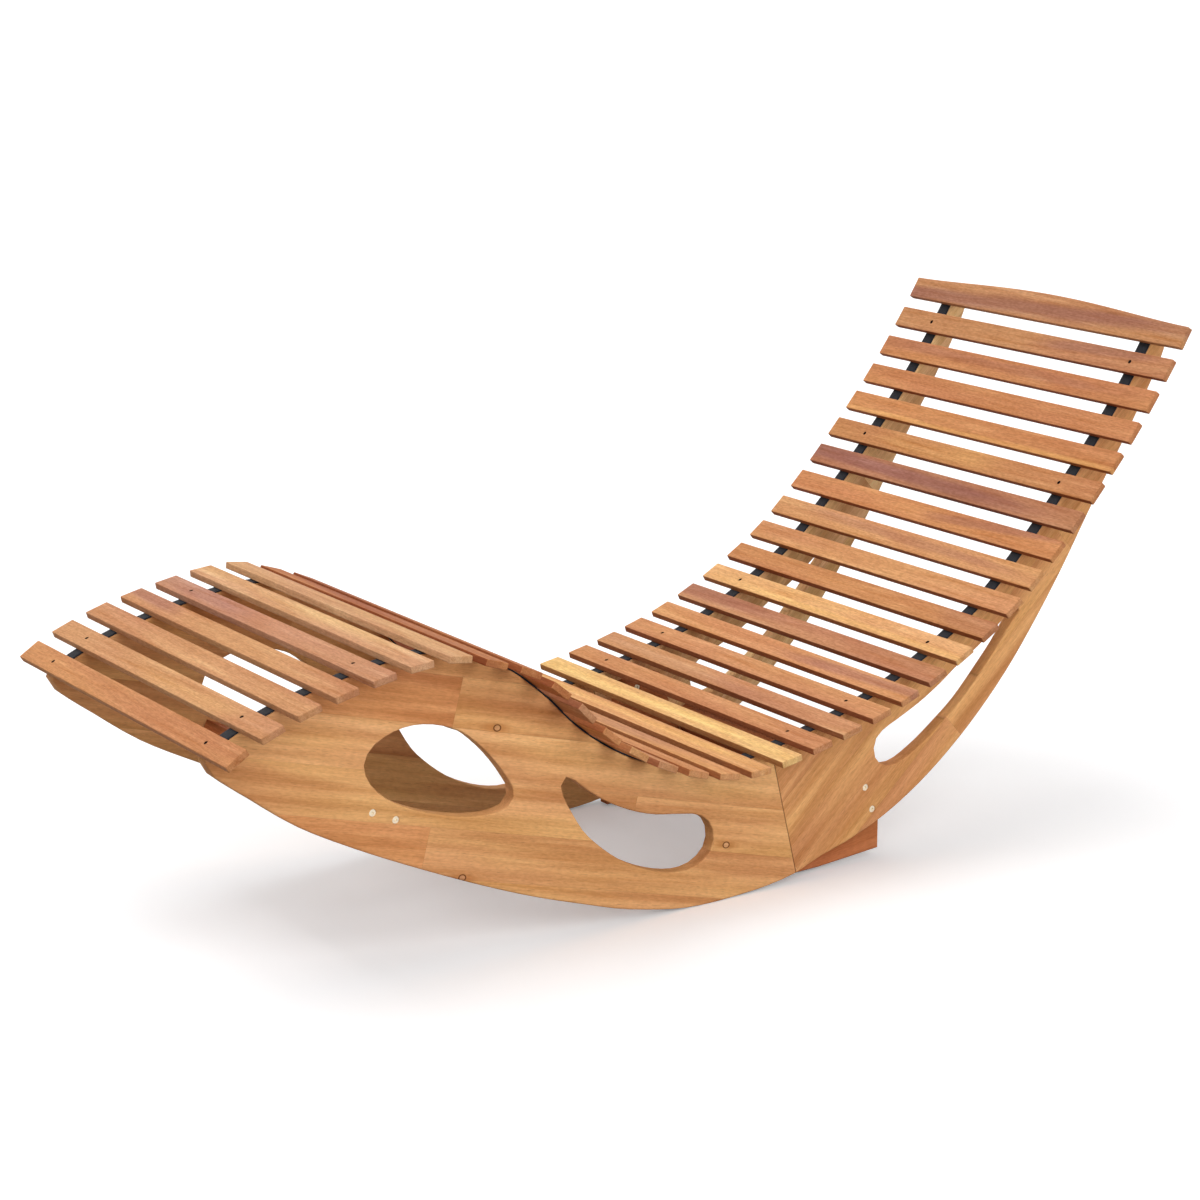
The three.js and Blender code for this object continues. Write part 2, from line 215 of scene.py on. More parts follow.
floor_mesh = bpy.data.meshes.new("studio_floor")
shape = bmesh.new()
bmesh.ops.create_grid(shape, x_segments=1, y_segments=1, size=FLOOR_REACH)
shape.to_mesh(floor_mesh)
shape.free()
floor = bpy.data.objects.new("studio_floor", floor_mesh)
bpy.context.scene.collection.objects.link(floor)
material, tree, shader = new_material("studio_floor")
shader.inputs["Roughness"].default_value = FLOOR_ROUGHNESS
shader.inputs["Specular IOR Level"].default_value = 0.0
seen = seen_directly(tree)
tree.links.new(blend(tree, seen, FLOOR_THROWN_BACK, FLOOR_COLOUR), shader.inputs["Base Color"])
shader.inputs["Emission Color"].default_value = WHITE
tree.links.new(calc(tree, "MULTIPLY", seen, FLOOR_GLOW), shader.inputs["Emission Strength"])
floor_mesh.materials.append(material)
print("floor", FLOOR_REACH, "m each way")

# %% [markdown]
# ## The sky
#
# The white sky does two things. It fills the shadows with a weak light from all sides, and it shows
# above the floor's horizon, where it has to be as white as the floor. The same limit as on the floor
# keeps the two apart: strength 1 where the sky is seen, and less for the light that it gives.

# %% Light the sky
SKY_LIGHT = 0.35

world = bpy.data.worlds.new("studio")
world.use_nodes = True
sky = world.node_tree
background = sky.nodes["Background"]
background.inputs["Color"].default_value = WHITE
strength = calc(sky, "MULTIPLY_ADD", seen_directly(sky), 1.0 - SKY_LIGHT, SKY_LIGHT)
sky.links.new(strength, background.inputs["Strength"])
bpy.context.scene.world = world
print("sky light", SKY_LIGHT)

# %% [markdown]
# ## What acacia looks like
#
# Acacia is a warm golden brown timber. Its colour drifts slowly from honey to rose. On that lie
# streaks a few millimetres wide and a hand long, some pale and some amber, and faint growth lines
# that run in slow curves. Close up there are short fibres and fine dark pores. All of them are long
# along the grain and narrow across it, so each pattern here is a noise stretched that way.
#
# Growth lines are the edges of the tree's yearly layers where the saw has cut through them, like the
# height lines of a map. So they are drawn the same way: a smooth noise is the height, and a line
# shows at every step of it.
#
# The patterns read an attribute named timber_place instead of the object's own position. It says
# where in its log each point of a board was cut: x across the grain, y along it, z through it. So
# the slats share one material, and each still has its own figure.
#
# A tinge is a colour that the timber's own tone is multiplied by: under 1 darkens, over 1 lightens.

# %% Draw the figure of the timber
# How many blotches a metre each pattern has, in the log's three directions
SWAY_STRETCH = (5.0, 2.2, 5.0)
STREAK_STRETCH = (135.0, 6.0, 135.0)
LAYER_STRETCH = (17.0, 1.1, 17.0)
SWAY = 7 * MM
LAYERS = 8.0
STREAK_DETAIL = 3.0
STREAK_ROUGHNESS = 0.55
# Each plain pattern: its blotches, the noise's detail, and which noise becomes 0 and which 1
PATTERNS = {
    "drift": ((16.0, 2.6, 16.0), 2.0, 0.32, 0.68),
    "band": ((48.0, 1.9, 48.0), 2.0, 0.34, 0.66),
    "fibre": ((1100.0, 26.0, 1100.0), 2.0, 0.3, 0.7),
    "speckle": ((420.0, 130.0, 420.0), 1.0, 0.3, 0.7),
    "pore": ((1500.0, 75.0, 1500.0), 1.0, 0.62, 0.74),
}
# Which part of the streaks' noise is pale and which is amber, and where a growth line fades out
PALE_RANGE = (0.52, 0.74)
AMBER_RANGE = (0.48, 0.26)
LINE_RANGE = (0.55, 1.0)
DRIFT_ROSE = (0.96, 0.90, 0.93, 1.0)
DRIFT_HONEY = (1.05, 1.09, 1.02, 1.0)
BAND_DARK = (0.95, 0.92, 0.90, 1.0)
BAND_LIGHT = (1.05, 1.07, 1.08, 1.0)
STREAK_PALE = (1.16, 1.28, 1.34, 1.0)
STREAK_AMBER = (0.88, 0.79, 0.68, 1.0)
GROWTH_LINE = (0.96, 0.92, 0.89, 1.0)
FIBRE_DARK = (0.90, 0.86, 0.82, 1.0)
FIBRE_LIGHT = (1.07, 1.09, 1.11, 1.0)
SPECKLE_DARK = (0.91, 0.89, 0.87, 1.0)
SPECKLE_LIGHT = (1.08, 1.09, 1.10, 1.0)
PORE_COLOUR = screen(104, 62, 40)
PORE_SHARE = 0.3
ROUGHNESS_LOW = 0.54
ROUGHNESS_PLAY = 0.16
OILED_SPECULAR = 0.04
RELIEF_STRENGTH = 0.25
RELIEF_DEPTH = 0.25 * MM


def stretched_noise(tree, place, stretch, detail=2.0, roughness=0.5):
    """Noise over the place, with its own number of blotches a metre each way."""
    scaled = calc_vector(tree, "MULTIPLY", place, stretch)
    inputs = {"Vector": scaled, "Scale": 1.0, "Detail": detail, "Roughness": roughness}
    return wire(tree, "TexNoise", inputs).outputs["Fac"]


def timber_figure(tree, place):
    """The plain patterns, the pale and amber streaks and the growth lines, each from 0 to 1."""
    sway = calc(tree, "SUBTRACT", stretched_noise(tree, place, SWAY_STRETCH), 0.5)
    aside = wire(tree, "CombineXYZ", {"X": calc(tree, "MULTIPLY", sway, 2 * SWAY)}).outputs[0]
    bent = calc_vector(tree, "ADD", place, aside)
    layer = calc(tree, "MULTIPLY", stretched_noise(tree, bent, LAYER_STRETCH, detail=1.0), LAYERS)
    line = calc(tree, "MULTIPLY", calc(tree, "PINGPONG", layer, 0.5), 2.0)
    streak = stretched_noise(tree, bent, STREAK_STRETCH, STREAK_DETAIL, STREAK_ROUGHNESS)
    figure = {
        "pale": spread(tree, streak, *PALE_RANGE),
        "amber": spread(tree, streak, *AMBER_RANGE),
        "line": spread(tree, line, *LINE_RANGE),
    }
    for part, (stretch, detail, low, high) in PATTERNS.items():
        figure[part] = spread(tree, stretched_noise(tree, bent, stretch, detail), low, high)
    return figure


def tint(tree, colour, share, tinge):
    """Multiplies a colour by a tinge where the share is 1."""
    return blend(tree, share, colour, blend(tree, 1.0, colour, tinge, "MULTIPLY"))


def between_tinges(tree, colour, part, dark, light, share=1.0):
    """Multiplies a colour by a tinge between dark and light, as a part of the figure says."""
    return blend(tree, share, colour, blend(tree, part, dark, light), "MULTIPLY")


def timber_finish(tree, shader, figure, tone, liveliness=1.0):
    """Puts the figure on a tone, and gives the surface its oiled sheen and its fine relief."""
    colour = between_tinges(tree, tone, figure["drift"], DRIFT_ROSE, DRIFT_HONEY)
    colour = between_tinges(tree, colour, figure["band"], BAND_DARK, BAND_LIGHT)
    for part, tinge in (("pale", STREAK_PALE), ("amber", STREAK_AMBER), ("line", GROWTH_LINE)):
        colour = tint(tree, colour, calc(tree, "MULTIPLY", figure[part], liveliness), tinge)
    colour = between_tinges(tree, colour, figure["fibre"], FIBRE_DARK, FIBRE_LIGHT, liveliness)
    colour = between_tinges(tree, colour, figure["speckle"], SPECKLE_DARK, SPECKLE_LIGHT, liveliness)
    colour = blend(tree, calc(tree, "MULTIPLY", figure["pore"], PORE_SHARE), colour, PORE_COLOUR)
    tree.links.new(colour, shader.inputs["Base Color"])
    rough = calc(tree, "MULTIPLY_ADD", figure["fibre"], ROUGHNESS_PLAY, ROUGHNESS_LOW)
    tree.links.new(rough, shader.inputs["Roughness"])
    shader.inputs["Specular IOR Level"].default_value = OILED_SPECULAR
    relief = calc(tree, "SUBTRACT", figure["fibre"], figure["pore"])
    add_bump(tree, shader, relief, RELIEF_STRENGTH, RELIEF_DEPTH)


print("streaks about", round(1 / STREAK_STRETCH[0] / MM, 1), "mm wide")

# %% [markdown]
# ## The slats' material
#
# No two slats match: some are straw-coloured, some salmon, and some have a plum-coloured tongue of
# heartwood. A slat carries its own tone as a colour attribute. Its tongue is a slanted band, given
# by two vector attributes: heart_span holds the band's middle along the slat, its reach each way
# and its strength, and heart_band its slant, its half width and how far it lies off the centre line.
# A negative strength makes the band golden instead. A third attribute, slat_place, says where on the slat
# a point lies. From the eighth slat on, the narrow faces get painted shade, darker and redder than the
# tops: edge_shade_strength is 1 on those slats, and the painted shade lies where slat_place reaches the
# slat's rim.

# %% Make the slats' material
HEARTWOOD = (0.69, 0.64, 0.90, 1.0)
GOLDEN_SAPWOOD = (1.24, 1.46, 1.26, 1.0)
# Painted shade on the slats' narrow faces: a darker, redder tinge, and where across the slat it starts
# and where it is full
EDGE_PAINTED_SHADE = (0.62, 0.46, 0.40, 1.0)
EDGE_SHADE_STARTS = 15.5 * MM
EDGE_SHADE_FULL = 15.95 * MM
# The tongue's outline wobbles, more at its sides than at its ends, and fades out over a range
WOBBLE_STRETCH = (60.0, 6.0, 60.0)
WOBBLE_OF_ENDS = 0.8
WOBBLE_OF_SIDES = 1.1
ENDS_RANGE = (1.15, 0.45)
SIDES_RANGE = (1.35, 0.35)


def attribute(tree, name):
    """The vector that a mesh carries under a name."""
    return wire(tree, "Attribute", attribute_name=name).outputs["Vector"]


def parts_of(tree, vector):
    """A vector's X, Y and Z."""
    outputs = wire(tree, "SeparateXYZ", {0: vector}).outputs
    return outputs["X"], outputs["Y"], outputs["Z"]


def tongue_share(tree, place, across, along):
    """1 inside a slat's tongue and 0 outside it, and the tongue's strength."""
    span_middle, span_reach, strength = parts_of(tree, attribute(tree, "heart_span"))
    slant, half_width, centre = parts_of(tree, attribute(tree, "heart_band"))
    wobble = stretched_noise(tree, place, WOBBLE_STRETCH, detail=3.0)
    wobble = calc(tree, "SUBTRACT", wobble, 0.5)
    from_middle = calc(tree, "SUBTRACT", along, span_middle)
    lengthwise = calc(tree, "DIVIDE", calc(tree, "ABSOLUTE", from_middle), span_reach)
    lengthwise = calc(tree, "ADD", lengthwise, calc(tree, "MULTIPLY", wobble, WOBBLE_OF_ENDS))
    band_line = calc(tree, "MULTIPLY_ADD", slant, from_middle, centre)
    sideways = calc(tree, "ABSOLUTE", calc(tree, "SUBTRACT", across, band_line))
    sideways = calc(tree, "DIVIDE", sideways, half_width)
    sideways = calc(tree, "ADD", sideways, calc(tree, "MULTIPLY", wobble, WOBBLE_OF_SIDES))
    inside_ends = spread(tree, lengthwise, *ENDS_RANGE)
    inside_sides = spread(tree, sideways, *SIDES_RANGE)
    return calc(tree, "MULTIPLY", inside_ends, inside_sides), strength


def slat_material():
    """Oiled slats: the tone, the tongue and the painted shade on the narrow faces come from attributes,
    and then the figure.
    """
    material, tree, shader = new_material("oiled_slats")
    place = attribute(tree, "timber_place")
    tone = wire(tree, "Attribute", attribute_name="timber_tone").outputs["Color"]
    across, along, _ = parts_of(tree, attribute(tree, "slat_place"))
    share, strength = tongue_share(tree, place, across, along)
    plum = calc(tree, "MULTIPLY", share, calc(tree, "MAXIMUM", strength, 0.0))
    tone = tint(tree, tone, plum, HEARTWOOD)
    turned = calc(tree, "MULTIPLY", strength, -1.0)
    golden = calc(tree, "MULTIPLY", share, calc(tree, "MAXIMUM", turned, 0.0))
    tone = tint(tree, tone, golden, GOLDEN_SAPWOOD)
    # Painted shade on the narrow faces of the slats that carry it
    edge_shade_strength, _, _ = parts_of(tree, attribute(tree, "edge_shade_strength"))
    edge = spread(tree, calc(tree, "ABSOLUTE", across), EDGE_SHADE_STARTS, EDGE_SHADE_FULL)
    tone = tint(tree, tone, calc(tree, "MULTIPLY", edge, edge_shade_strength), EDGE_PAINTED_SHADE)
    timber_finish(tree, shader, timber_figure(tree, place), tone)
    return material


oiled_slats = slat_material()
print("material", oiled_slats.name)

# %% [markdown]
# ## The panels' material
#
# A side panel is too wide for one plank, so it is glued up from staves, and each stave is a little
# lighter or darker than its neighbours. Rounding a position down to whole staves gives each one a
# number, White Noise turns the number into its tone, and the same number moves the figure to another
# place in the log, so that the grain breaks at the glue line as it does on the bench. Every third
# stave has its end joint at the same height. A few staves that stand out get their own tone.
#
# A knot is where a branch left the trunk. The grain flows round it like water round a stone, so the
# figure near a knot is squeezed outwards, and the knot itself is a small dark ring round a pale
# middle with a smudge of amber along the grain. Pale and dark flames, 25 mm wide and up to half a
# metre long, lie under the finer figure.
#
# There are thin dark lines of two kinds: the glue lines between staves, and the seam between two
# boards. The attribute from_seam holds how far a point lies from that seam.

# %% Make the panels' material
STAVE_LENGTH = 0.9
ROWS_A_REPEAT = 3
BOARD_LIVELINESS = 0.6
# How far a stave's random numbers move its figure in the log, in metres
LOG_JUMPS = (3.0, 5.0, 2.0)
SAME_NUMBER = 0.5
FLAME_STRETCH = (40.0, 2.2, 40.0)
FLAME_RANGE = (0.3, 0.7)
FLAME_DARK = (0.90, 0.84, 0.78, 1.0)
FLAME_LIGHT = (1.20, 1.28, 1.34, 1.0)
GLUE_LINE = 0.35 * MM
GLUE_DARKNESS = 0.25
SEAM_SHADE = 1.3 * MM
SEAM_DARKNESS = 0.8
KNOT_RADIUS = 4.0 * MM
KNOT_OVAL = 0.8
KNOT_PULL = 5 * MM
KNOT_PULL_SOFTENS = 2 * MM
KNOT_REACH = 18 * MM
KNOT_RING_WIDTH = 1.2 * MM
KNOT_RING = screen(86, 48, 32)
KNOT_HEART_EDGE = 0.6 * KNOT_RADIUS
KNOT_HEART_SHARE = 0.8
KNOT_HEART = screen(214, 160, 116)
SMUDGE_OVAL = 0.3
SMUDGE_RANGE = (2.4 * KNOT_RADIUS, 0.4 * KNOT_RADIUS)
KNOT_SMUDGE = (0.80, 0.68, 0.58, 1.0)


def stave_numbers(tree, across, along, pitch, first_line, first_joint):
    """The number of the stave across the board, the length's number, and where the lengths start."""
    row = calc(tree, "FLOOR", calc(tree, "DIVIDE", calc(tree, "SUBTRACT", across, first_line), pitch))
    turn = calc(tree, "FLOORED_MODULO", row, float(ROWS_A_REPEAT))
    start = calc(tree, "MULTIPLY_ADD", turn, STAVE_LENGTH / ROWS_A_REPEAT, first_joint)
    run = calc(tree, "FLOOR", calc(tree, "DIVIDE", calc(tree, "SUBTRACT", along, start), STAVE_LENGTH))
    return row, run, start


def near_line(tree, distance, width):
    """1 on a line and 0 further away than its width."""
    return spread(tree, calc(tree, "ABSOLUTE", distance), width, 0.0)


def oval_distance(tree, gap_across, gap_along, oval):
    """How far a point lies from a knot, measured so that the knot is drawn out along the grain."""
    drawn_in = calc(tree, "MULTIPLY", gap_along, oval)
    gap = wire(tree, "CombineXYZ", {"X": gap_across, "Y": drawn_in}).outputs[0]
    return wire(tree, "VectorMath", {0: gap}, operation="LENGTH").outputs["Value"]


def knot_parts(tree, across, along, knots):
    """How far the knots push the grain aside, and their rings, hearts and smudges from 0 to 1."""
    aside = rings = hearts = smudges = 0.0
    for knot_across, knot_along in knots:
        gap_across = calc(tree, "SUBTRACT", across, knot_across)
        gap_along = calc(tree, "SUBTRACT", along, knot_along)
        away = oval_distance(tree, gap_across, gap_along, KNOT_OVAL)
        along_grain = oval_distance(tree, gap_across, gap_along, SMUDGE_OVAL)
        softened = calc(tree, "ADD", calc(tree, "ABSOLUTE", gap_across), KNOT_PULL_SOFTENS)
        side = calc(tree, "DIVIDE", gap_across, softened)
        push = calc(tree, "MULTIPLY", spread(tree, along_grain, KNOT_REACH, 0.0), -KNOT_PULL)
        aside = calc(tree, "MULTIPLY_ADD", side, push, aside)
        ring = near_line(tree, calc(tree, "SUBTRACT", away, KNOT_RADIUS), KNOT_RING_WIDTH)
        rings = calc(tree, "MAXIMUM", rings, ring)
        hearts = calc(tree, "MAXIMUM", hearts, spread(tree, away, KNOT_RADIUS, KNOT_HEART_EDGE))
        smudges = calc(tree, "MAXIMUM", smudges, spread(tree, along_grain, *SMUDGE_RANGE))
    return aside, rings, hearts, smudges


def stave_tone(tree, row, run, chance, light_tone, dark_tone, picked):
    """A tone by chance for each stave, but for the picked ones."""
    tone = blend(tree, chance, dark_tone, light_tone)
    for picked_row, picked_run, picked_tone in picked:
        same_row = calc(tree, "COMPARE", row, picked_row, SAME_NUMBER)
        same_run = calc(tree, "COMPARE", run, picked_run, SAME_NUMBER)
        tone = blend(tree, calc(tree, "MULTIPLY", same_row, same_run), tone, picked_tone)
    return tone


def glue_lines(tree, across, along, row, start, pitch, first_line):
    """1 on the lines beside a stave and at its ends."""
    side = calc(tree, "SUBTRACT", across, calc(tree, "MULTIPLY_ADD", row, pitch, first_line))
    side = calc(tree, "MINIMUM", side, calc(tree, "SUBTRACT", pitch, side))
    end = calc(tree, "PINGPONG", calc(tree, "SUBTRACT", along, start), STAVE_LENGTH / 2)
    return calc(tree, "MAXIMUM", near_line(tree, side, GLUE_LINE), near_line(tree, end, GLUE_LINE))


def board_material(
        name, pitch, first_line, first_joint, light_tone, dark_tone,
        knots=(), board=0.0, picked=(), seam=SEAM_DARKNESS):
    """Staves of one pitch, side by side from the first glue line, end to end from the first joint."""
    material, tree, shader = new_material(name)
    place = attribute(tree, "timber_place")
    across, along, _ = parts_of(tree, place)
    row, run, start = stave_numbers(tree, across, along, pitch, first_line, first_joint)
    number = wire(tree, "CombineXYZ", {"X": row, "Y": run, "Z": board}).outputs[0]
    chance = wire(tree, "TexWhiteNoise", {"Vector": number}, noise_dimensions="3D").outputs
    elsewhere = calc_vector(tree, "MULTIPLY", chance["Color"], LOG_JUMPS)
    aside, rings, hearts, smudges = knot_parts(tree, across, along, knots)
    pushed = wire(tree, "CombineXYZ", {"X": aside}).outputs[0]
    log_place = calc_vector(tree, "ADD", calc_vector(tree, "ADD", place, pushed), elsewhere)
    tone = stave_tone(tree, row, run, chance["Value"], light_tone, dark_tone, picked)
    flame = spread(tree, stretched_noise(tree, log_place, FLAME_STRETCH), *FLAME_RANGE)
    tone = between_tinges(tree, tone, flame, FLAME_DARK, FLAME_LIGHT)
    tone = tint(tree, tone, smudges, KNOT_SMUDGE)
    tone = blend(tree, calc(tree, "MULTIPLY", hearts, KNOT_HEART_SHARE), tone, KNOT_HEART)
    tone = blend(tree, rings, tone, KNOT_RING)
    glue = glue_lines(tree, across, along, row, start, pitch, first_line)
    tone = blend(tree, calc(tree, "MULTIPLY", glue, GLUE_DARKNESS), tone, PORE_COLOUR)
    from_seam, _, _ = parts_of(tree, attribute(tree, "from_seam"))
    at_seam = near_line(tree, from_seam, SEAM_SHADE)
    tone = blend(tree, calc(tree, "MULTIPLY", at_seam, seam), tone, PORE_COLOUR)
    timber_finish(tree, shader, timber_figure(tree, log_place), tone, BOARD_LIVELINESS)
    return material


print("staves up to", STAVE_LENGTH, "m long")

# %% [markdown]
# ## Turning a solid into a finished piece of timber
#
# A solid arrives as loose flat triangles. A copy of it is merged into one skin and shaded smooth,
# except across true corners, and Weighted Normal then keeps the big faces flat, so that only the
# eased edges look round. The same pass writes where in the log each point lies. The solid itself
# stays hidden underneath.

# %% Helper for timber pieces
MERGE_DISTANCE = 0.005 * MM
SMOOTH_BELOW = math.radians(50)
ORIGIN = Vector((0, 0, 0))


def merged_copy(node):
    """A solid's mesh as one connected skin."""
    skin = bmesh.new()
    skin.from_mesh(solids[node].data)
    bmesh.ops.remove_doubles(skin, verts=skin.verts, dist=MERGE_DISTANCE)
    bmesh.ops.recalc_face_normals(skin, faces=skin.faces)
    return skin


def finished_piece(name, skin, material, slot, *nodes):
    """Makes the piece from a bmesh, smooth between its corners, riding on the chair."""
    mesh = bpy.data.meshes.new(name)
    skin.to_mesh(mesh)
    skin.free()
    mesh.shade_smooth()
    mesh.set_sharp_from_angle(angle=SMOOTH_BELOW)
    mesh.materials.append(material)
    piece = bpy.data.objects.new(name, mesh)
    bpy.context.scene.collection.objects.link(piece)
    normals = piece.modifiers.new("flat_faces_stay_flat", "WEIGHTED_NORMAL")
    normals.keep_sharp = True
    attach(piece, "root")
    if nodes:
        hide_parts(*nodes)
    return piece


def write_places(skin, name, grain, across, middle, log_offset):
    """Writes where each point lies: across the grain, along it, and through the board."""
    layer = skin.verts.layers.float_vector.new(name)
    through = grain.cross(across)
    for vertex in skin.verts:
        gap = vertex.co - middle
        vertex[layer] = Vector((gap.dot(across), gap.dot(grain), gap.dot(through))) + log_offset


print("corners over", round(math.degrees(SMOOTH_BELOW)), "degrees stay sharp")

# %% [markdown]
# ## The slats
#
# The slats are battens 32 mm wide and 9 mm thick with crisp edges. The tones below are named from sunny
# to umber, and listed in the slats' order from the foot to the head. The lean of a slat is found from its
# end face: the direction in which the end's points spread the most.
#
# A slat is never sawn quite along the grain, so the grain of each one runs off by up to a degree.

# %% Choose the slats' tones
TONES = {
    "sunny": screen(226, 184, 125),
    "straw": screen(221, 171, 118),
    "blond": screen(213, 159, 111),
    "oat": screen(206, 158, 119),
    "honey": screen(206, 150, 104),
    "fawn": screen(197, 144, 104),
    "rose": screen(196, 144, 111),
    "salmon": screen(197, 140, 99),
    "amber": screen(200, 137, 92),
    "clay": screen(193, 134, 90),
    "russet": screen(185, 130, 96),
    "umber": screen(182, 117, 76),
}
SLAT_TONES = (
    "clay fawn fawn fawn rose oat oat umber umber umber russet amber "
    "honey fawn honey honey blond sunny salmon fawn salmon honey russet straw "
    "clay honey honey amber russet clay amber amber amber salmon salmon"
).split()
# Slat number: the heartwood band's middle along the slat, its reach each way and its strength
HEART_SPANS = {
    2: (-0.05, 0.16, -0.3), 4: (0.26, 0.12, 0.7), 5: (0.22, 0.2, 0.6), 6: (0.1, 0.3, -0.4),
    8: (-0.05, 0.3, 0.4), 9: (0.10, 0.20, 0.4), 12: (0.22, 0.15, 0.8), 16: (0.02, 0.20, 0.6),
    17: (0.0, 0.4, -0.5), 18: (-0.1, 0.4, -0.3), 20: (0.1, 0.3, 0.3), 22: (-0.2, 0.2, 0.8),
    23: (0.25, 0.2, 0.6), 24: (-0.1, 0.3, -0.5), 25: (-0.26, 0.1, 0.5), 27: (0.0, 0.3, 0.5),
    28: (-0.16, 0.15, 0.8), 29: (0.16, 0.4, 0.95), 30: (0.05, 0.14, -0.6), 31: (-0.05, 0.4, -0.8),
    33: (0.02, 0.3, 0.55), 34: (-0.14, 0.14, 0.7), 35: (0.05, 0.5, 0.95),
}
# Slat number: the band's slant, its half width and how far its middle lies off the centre line
HEART_BANDS = {
    2: (0.0, 0.02, -0.01), 4: (0.04, 0.012, 0.008), 5: (0.02, 0.02, 0.004), 6: (0.0, 0.012, 0.006),
    8: (0.03, 0.014, 0.0), 9: (0.0, 0.02, 0.0), 12: (0.02, 0.02, 0.0), 16: (-0.03, 0.02, 0.0),
    17: (0.0, 0.008, 0.004), 18: (0.0, 0.007, 0.0), 20: (0.02, 0.012, -0.004), 22: (-0.03, 0.01, 0.004),
    23: (0.02, 0.014, 0.006), 24: (0.0, 0.006, -0.01), 25: (0.0, 0.02, 0.004), 27: (0.015, 0.008, 0.002),
    28: (-0.07, 0.008, 0.008), 29: (0.02, 0.013, 0.002), 30: (0.0, 0.016, 0.002),
    31: (0.0, 0.005, -0.013), 33: (0.01, 0.008, 0.004), 34: (-0.05, 0.009, 0.008),
    35: (-0.03, 0.013, 0.0),
}
NO_SPAN = (1.0, 0.1, 0.0)
NO_BAND = (0.0, 0.01, 0.0)
# Slats with painted shade on their narrow faces. The bowed head slat is wider, so its edge isn't where
# theirs is
SLATS_WITH_EDGE_SHADE = range(8, 35)
print(len(SLAT_TONES), "slats,", len(HEART_SPANS), "with a band of heartwood or sapwood")

# %% Make the slats
SLAT_END = 20 * MM
GRAIN_ACROSS_CHAIR = Vector((0, 1, 0))
GRAIN_RUN_OFF = math.radians(1.0)
RUN_OFF_TURN = 2.4
# Each slat is cut from another part of the log, and every fifth from the same depth
LOG_STEP_ACROSS = 0.11
LOG_STEP_ALONG = 1.7
LOG_STEP_DOWN = 0.07
LOG_TOP = 0.05
LOG_DEPTHS = 5


def slat_frame(node):
    """The slat's middle, and its directions across its width and out of its top."""
    points = [vertex.co for vertex in solids[node].data.vertices]
    end = max(point.y for point in points) - SLAT_END
    points = [point for point in points if point.y > end]
    middle_x = sum(point.x for point in points) / len(points)
    middle_z = sum(point.z for point in points) / len(points)
    xx = sum((point.x - middle_x) ** 2 for point in points)
    zz = sum((point.z - middle_z) ** 2 for point in points)
    xz = sum((point.x - middle_x) * (point.z - middle_z) for point in points)
    lean = math.atan2(2 * xz, xx - zz) / 2
    across = Vector((math.cos(lean), 0, math.sin(lean)))
    up = Vector((-math.sin(lean), 0, math.cos(lean)))
    middle = Vector((0, 0, 0))
    for way in (across, up):
        reach = [point.dot(way) for point in points]
        middle += way * (min(reach) + max(reach)) / 2
    return middle, across, up


def fill(skin, kind, name, value):
    """Writes the same value of an attribute on every point."""
    layer = getattr(skin.verts.layers, kind).new(name)
    for vertex in skin.verts:
        vertex[layer] = value


slats = {}
for number, tone in enumerate(SLAT_TONES, 1):
    node = f"slat_{number:02d}"
    middle, across, up = slat_frame(node)
    skin = merged_copy(node)
    depth = LOG_STEP_DOWN * (number % LOG_DEPTHS) + LOG_TOP
    from_log = Vector((LOG_STEP_ACROSS * number, LOG_STEP_ALONG * number, depth))
    run_off = GRAIN_RUN_OFF * math.sin(RUN_OFF_TURN * number)
    grain = GRAIN_ACROSS_CHAIR * math.cos(run_off) + across * math.sin(run_off)
    side = across * math.cos(run_off) - GRAIN_ACROSS_CHAIR * math.sin(run_off)
    write_places(skin, "timber_place", grain, side, middle, from_log)
    write_places(skin, "slat_place", GRAIN_ACROSS_CHAIR, across, middle, ORIGIN)
    fill(skin, "float_color", "timber_tone", TONES[tone])
    fill(skin, "float_vector", "heart_span", HEART_SPANS.get(number, NO_SPAN))
    fill(skin, "float_vector", "heart_band", HEART_BANDS.get(number, NO_BAND))
    # 1 on the slats whose narrow faces get painted shade
    fill(skin, "float_vector", "edge_shade_strength", Vector((number in SLATS_WITH_EDGE_SHADE, 0, 0)))
    finished_piece(node + "_timber", skin, oiled_slats, "acacia_slats", node)
    slats[number] = (middle, across, up)
print("slat 17 leans", round(math.degrees(math.asin(slats[17][1].z)), 1), "degrees")

# %% [markdown]
# ## The side panels
#
# Each panel is two boards that meet in a seam under the seat. The front board's staves run down
# towards the head by fifteen degrees, and the back board's climb along the backrest. Both lie in the
# plane of the panel, so one direction of grain gives each board its places. A knot is given by its
# place in the side view, and that is turned into distances across and along the grain.

# %% Make the side panels
FRONT_GRAIN_SLOPE = math.radians(-15)
BACK_GRAIN_SLOPE = math.radians(42)
FRONT_PITCH = 62.5 * MM
FRONT_FIRST_LINE = 63 * MM
FRONT_FIRST_JOINT = -0.181
BACK_PITCH = 45 * MM
BACK_FIRST_LINE = 26 * MM
BACK_FIRST_JOINT = -0.2
FRONT_LIGHT = screen(223, 168, 113)
FRONT_DARK = screen(212, 152, 98)
BACK_LIGHT = screen(218, 159, 105)
BACK_DARK = screen(211, 150, 100)
# The far back board's paler tones are painted light on its inner face, which lies in shade behind the
# slats and the near panel
PAINTED_LIGHT_BACK_LIGHT = screen(238, 192, 140)
PAINTED_LIGHT_BACK_DARK = screen(230, 182, 130)
SALMON_STAVE = screen(213, 145, 97)
BUFF_STAVE = screen(218, 158, 105)
HONEY_STAVE = screen(220, 162, 108)
LIGHT_STAVE = screen(233, 177, 121)
